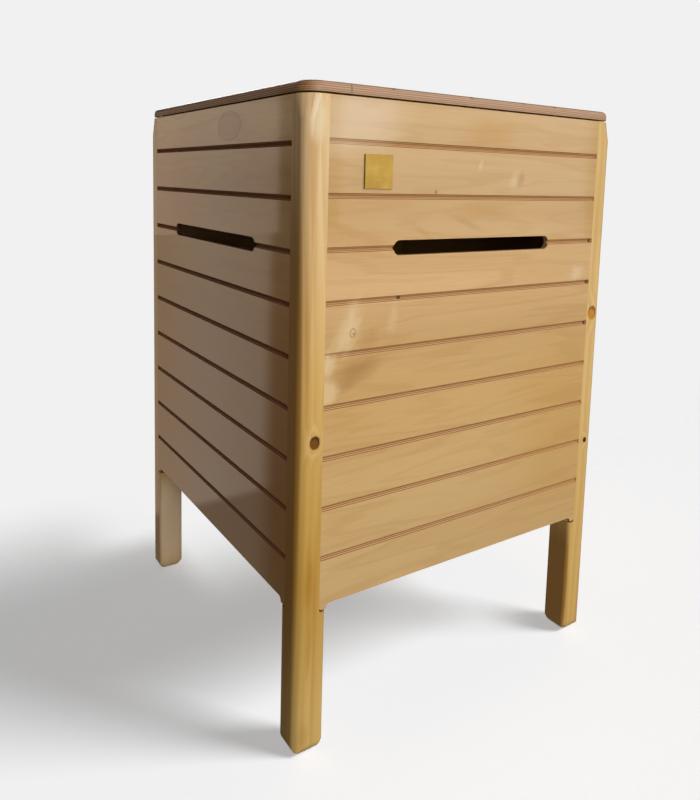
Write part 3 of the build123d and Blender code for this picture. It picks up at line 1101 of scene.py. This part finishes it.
@dataclass
class Carcass:
    """The posts, panels, floor and cleats."""

    half_width: float = 169.0
    half_depth: float = 172.5
    y_centre: float = -1.7
    groove_pitch: float = 40.0
    slot_height: float = 402.5
    slot_half: float = 87.5
    side_drop: float = 2.4
    # How far a figure reaches into the wood, which is more than any piece is thick
    deep: float = 40.0

    @property
    def front(self) -> float:
        """Gives where the front face lies."""
        return self.y_centre - self.half_depth

    @property
    def back(self) -> float:
        """Gives where the back face lies."""
        return self.y_centre + self.half_depth

    def front_marks(self) -> tuple[Mark, ...]:
        """Places the figures that the veneer of the front panel shows, with a painted sheen and painted
        shadows among them.

        Returns:
            The figures.
        """
        front, deep = self.front, self.deep
        # The last of these colours is painted shadow, for the ends of the grooves
        pale, cream, brown, pin_knot, groove_end_shade = "#f2d6a8", "#f2dcb4", "#a97a44", "#82572e", "#3c2212"
        groove_end = 146.6
        heights = [self.slot_height - n * self.groove_pitch for n in range(3)]
        groove_ends = (Mark((groove_end, front, z), (2.0, deep, 2.2), groove_end_shade, 0.85, 0.5) for z in heights)
        return (
            # Painted sheen at the upper left: paler
            Mark((-124.0, front, 500.0), (66.0, deep, 34.0), "#f4dfc4", 0.42, 0.0, lean=-8.0, ragged=0.8),
            # The pale and dark fans left of the middle
            Mark((-127.0, front, 343.0), (15.0, deep, 30.0), pale, 0.62, 0.0, lean=20.0, ragged=1.1),
            Mark((-146.0, front, 317.0), (11.0, deep, 16.0), pale, 0.65, 0.0, lean=15.0, ragged=1.0),
            Mark((-86.0, front, 347.0), (8.0, deep, 17.0), pale, 0.30, 0.0, lean=10.0, ragged=1.0),
            Mark((-108.0, front, 331.0), (12.0, deep, 15.0), "#b07d45", 0.28, 0.0, lean=35.0, ragged=1.0),
            Mark((-122.0, front, 307.0), (38.0, deep, 15.0), "#96692f", 0.5, 0.0, lean=-20.0, ragged=0.7),
            Mark((-150.0, front, 294.0), (19.0, deep, 13.5), "#eccb98", 0.75, 0.4, lean=-8.0, ragged=0.6),
            # Pin knots, the first one a ring with a dot
            Mark((-124.1, front, 338.3), (3.5, deep, 4.4), pin_knot, 0.55, 0.7, 0.72, ragged=0.5),
            Mark((-123.4, front, 337.4), (1.4, deep, 1.8), pin_knot, 0.6, 0.3),
            Mark((-47.4, front, 446.6), (2.0, deep, 2.3), pin_knot, 0.6, 0.3),
            # Small flecks and flames round the slot
            Mark((0.5, front, 469.5), (3.4, deep, 7.0), cream, 0.32, 0.0, lean=20.0, ragged=0.8),
            Mark((41.0, front, 458.0), (8.0, deep, 11.0), cream, 0.26, 0.0, lean=20.0, ragged=0.8),
            Mark((49.0, front, 459.0), (6.0, deep, 10.0), brown, 0.40, 0.0, lean=20.0, ragged=0.8),
            Mark((-12.0, front, 421.5), (30.0, deep, 4.5), brown, 0.28, 0.0, lean=20.0, ragged=0.8),
            Mark((-60.0, front, 415.0), (26.0, deep, 4.0), brown, 0.2, 0.0, lean=30.0, ragged=0.8),
            Mark((130.0, front, 373.0), (14.0, deep, 10.0), "#f0dab6", 0.46, 0.0, lean=-15.0, ragged=0.9),
            # A nick in the fourth groove
            Mark((-80.7, front, 362.8), (2.6, deep, 2.0), "#42260f", 0.85, 0.4),
            # Golden towards the lower right and along two bands above
            Mark((125.0, front, 225.0), (120.0, deep, 120.0), "#cb9440", 0.34, 0.0, ragged=0.4),
            Mark((10.0, front, 498.0), (44.0, deep, 17.0), "#c58f3a", 0.45, 0.0, ragged=0.8),
            Mark((5.0, front, 431.0), (52.0, deep, 12.0), "#bd8838", 0.30, 0.0, ragged=0.8),
            # Painted shadow at the ends of three grooves
            *groove_ends,
        )

    def left_marks(self) -> tuple[Mark, ...]:
        """Places the figures of the left panel, among them an oval veneer patch with a thin seam, and its
        painted light and painted shadows.

        Returns:
            The figures.
        """
        left, deep = -self.half_width, self.deep
        patch = (left, -41.1, 497.8)
        slot_height = self.slot_height - self.side_drop
        slot_ends = (
            Mark((left, self.y_centre + y, slot_height), (deep, 6.4, 6.4), "#2a170d", 0.8, 0.9, ragged=0.0)
            for y in (-self.slot_half, self.slot_half)
        )
        return (
            # Painted light: the far end more golden than the rest, for the weaker sheen mirrored there
            Mark((left, 172.5, 300.0), (deep, 115.0, 330.0), "#a8721c", 0.6, 0.0, ragged=0.2),
            # The patch and the seam round it
            Mark(patch, (deep, 25.0, 13.0), "#c8805e", 0.38, 0.94, ragged=0.05),
            Mark(patch, (deep, 26.0, 13.8), "#6a4424", 0.26, 0.9, 0.96, ragged=0.22),
            # Painted shade at the slot's ends
            *slot_ends,
        )

    def posts(self) -> dict[str, GlossVarnishedPine]:
        """Picks the pine of every post.

        Returns:
            The finishes by piece.
        """
        left, right, front, back, deep = -self.half_width, self.half_width, self.front, self.back, self.deep
        return {
            "post_front_left": GlossVarnishedPine(
                "varnished_pine_front_left",
                pith=(left + 60, front - 40),
                knots=(Knot((left + 12.9, front, 257.0), 4.5, 5.4, 0.25, "#7c4808", "#3c2004"),),
                marks=(
                    # Painted shade down the post's shaded side: rich and brown
                    Mark((left - 0.5, front + 14, 270), (3.8, deep, 260), "#ab7a32", 0.88, 0.45, ragged=0.0),
                    # Pale wood that swells round the knot
                    Mark((left + 12.9, front, 258), (10.0, 30.0, 16.0), "#f2d08c", 0.3, 0.5, 0.6, ragged=0.7),
                    # Painted highlight at the top, pale, and browner streaks down the leg
                    Mark((left + 11.5, front, 498.0), (9.0, 7.0, 24.0), "#f6e4bc", 0.55, 0.2, ragged=0.5),
                    Mark((left + 10, front, 150.0), (5.0, 30.0, 38.0), "#a9741d", 0.55, 0.0, ragged=0.9),
                    Mark((left + 11, front, 96.0), (4.0, 30.0, 40.0), "#ad7b24", 0.40, 0.0, ragged=0.9),
                    Mark((left + 8, front, 20.0), (7.0, 30.0, 16.0), "#b98632", 0.35, 0.0, ragged=0.9),
                ),
                # Paler toward the top and darker partway down the leg: painted light and shade laid into the
                # wood's tone
                tones=((40.0, "#e0ba6e"), (140.0, "#cb9e48"), (290.0, "#e0b66a"), (470.0, "#f4d3a0")),
            ),
            "post_front_right": GlossVarnishedPine(
                "varnished_pine_front_right",
                pith=(right + 30, front + 55),
                knots=(
                    Knot((right - 12.6, front, 331.5), 6.0, 7.0, 0.3, "#cf8c30", "#8f5a1c"),
                    Knot((right - 11.1, front, 202.2), 2.4, 2.8, -0.3, "#3c1407", "#240b04"),
                ),
                marks=(
                    # Painted shade on the inner side of the leg, under the box
                    Mark((right - 26, front + 13, 55.0), (3.5, deep, 75.0), "#a6732c", 0.8, 0.5, ragged=0.0),
                ),
                tones=((0.0, "#e2b969"), (300.0, "#eac482"), (500.0, "#e8c281")),
            ),
            "post_back_left": GlossVarnishedPine(
                "varnished_pine_back_left",
                pith=(left - 20, back + 30),
                marks=(
                    # Painted light on the front of the leg, under the box: pale
                    Mark((left + 12, back - 27, 60.0), (30.0, 12.0, 76.0), "#f4d6b0", 0.92, 0.4),
                    # Painted shadow in the seam between the post and the left panel
                    Mark((left + 1, back - 20, 310.0), (7.0, 0.9, 900.0), "#2c1c10", 0.8, 0.5, ragged=0.0),
                ),
            ),
            "post_back_right": GlossVarnishedPine("varnished_pine_back_right", pith=(right + 40, back - 30)),
        }

    def panels(self) -> dict[str, VarnishedBirchPlywood]:
        """Picks the plywood of every panel.

        Returns:
            The finishes by piece.
        """
        left, right, front, back = -self.half_width, self.half_width, self.front, self.back
        return {
            "panel_front": VarnishedBirchPlywood(
                "varnished_birch_plywood_front",
                Axis.X,
                Axis.Y,
                front,
                1.0,
                seed=0.4,
                marks=self.front_marks(),
                tones=(
                    (160.0, "#d9b57c"),
                    (225.0, "#dbb57a"),
                    (270.0, "#d9b072"),
                    (335.0, "#d5ad75"),
                    (370.0, "#e4bb86"),
                    (405.0, "#dab27c"),
                    (430.0, "#cfa66b"),
                    (450.0, "#d2ac76"),
                    (500.0, "#d6b07a"),
                ),
            ),
            "panel_back": VarnishedBirchPlywood(
                "varnished_birch_plywood_back", Axis.X, Axis.Y, back, -1.0, seed=2.9
            ),
            # The left panel's browner plies and tones are painted shade, and its pale top a painted sheen,
            # over the wood's own tone
            "panel_left": VarnishedBirchPlywood(
                "varnished_birch_plywood_left",
                Axis.Y,
                Axis.X,
                left,
                1.0,
                seed=5.1,
                marks=self.left_marks(),
                tones=(
                    (120.0, "#c09259"),
                    (200.0, "#b88750"),
                    (330.0, "#c5965d"),
                    (375.0, "#d0a56c"),
                    (455.0, "#d4aa72"),
                    (500.0, "#ffdaa8"),
                ),
                long_ply="#ac7852",
                cross_ply="#986640",
                glue_line="#6a4028",
            ),
            "panel_right": VarnishedBirchPlywood(
                "varnished_birch_plywood_right", Axis.Y, Axis.X, right, -1.0, seed=7.3
            ),
        }

    def dress(self) -> list[str]:
        """Gives every piece of the carcass its finish.

        Returns:
            The pieces' names.
        """
        wood = {piece: finish.build() for piece, finish in (self.posts() | self.panels()).items()}
        battens = ("cleat_front", "cleat_back", "cleat_left", "cleat_right", "hinge_rail")
        bare = dict.fromkeys(battens, PLANED_BATTEN.build())
        finishes = wood | bare | {
            "floor_panel": SANDED_FLOOR.build(),
            "name_plate": DulledBrassPlate().build(),
        }
        dress(finishes)
        return list(finishes)


@dataclass
class Lid:
    """The lid board with its hinges, screws and pads."""

    front: float = -174.2
    bottom: float = 517.1
    thickness: float = 8.0

    @property
    def top(self) -> float:
        """Gives how high the lid's upper face lies."""
        return self.bottom + self.thickness

    def edge_marks(self) -> tuple[Mark, ...]:
        """Places the painted sheen on the front edge, its dark joint and its small nicks.

        Returns:
            The figures.
        """
        front, middle, nick_height = self.front, self.top - 4.0, self.top - 0.8
        nicks = (
            Mark((x, front, nick_height), (2.6, 30.0, 1.4), "#4a2a1a", 0.7, 0.2, ragged=0.8)
            for x in (-91.7, -12.0, 48.6, 88.1)
        )
        return (
            # Painted sheen on the front edge: paler than the left one
            Mark((0.0, front, middle), (235.0, 9.0, 25.0), "#f0d2b8", 0.2, 0.6, ragged=0.0),
            # The joint in its plies
            Mark((-130.7, front, middle), (0.8, 30.0, 6.0), "#3c2014", 0.7, 0.2),
            *nicks,
        )

    def board(self) -> VarnishedBirchPlywood:
        """Picks the lid's plywood, browner than the panels' and with a thinner varnish that soaks in less.

        Returns:
            The finish.
        """
        return VarnishedBirchPlywood(
            "varnished_birch_plywood_lid",
            Axis.X,
            Axis.Z,
            self.top,
            -1.0,
            self.thickness,
            face_veneer=0.5,
            glue_share=0.24,
            long_ply="#c79c74",
            cross_ply="#a87a54",
            glue_line="#774d32",
            marks=self.edge_marks(),
            seed=9.0,
            varnish=ClearVarnish(coat=0.3, soaked_coat=0.22),
        )

    def dress(self) -> list[str]:
        """Gives every piece of the lid and its hinges its finish.

        Returns:
            The pieces' names.
        """
        hinge = ("box_leaf", "lid_leaf", "pin")
        hinges = dict.fromkeys(
            [f"hinge_{side}_{piece}" for side in ("left", "right") for piece in hinge], PRESSED_BRASS.build()
        )
        screws = dict.fromkeys(("hinge_box_screws", "hinge_lid_screws"), TURNED_BRASS.build())
        finishes = hinges | screws | {"lid_board": self.board().build(), "lid_bumpers": PRESSED_FELT.build()}
        dress(finishes)
        return list(finishes)


def main() -> None:
    """Builds the studio, dresses every piece and reports each one."""
    logging.basicConfig(level=logging.INFO, format="%(message)s")
    Studio().build()
    LOG.info("studio built")
    for assembly in (Carcass(), Lid()):
        for piece in assembly.dress():
            LOG.info("%s dressed", piece)


if __name__ == "__main__":
    main()
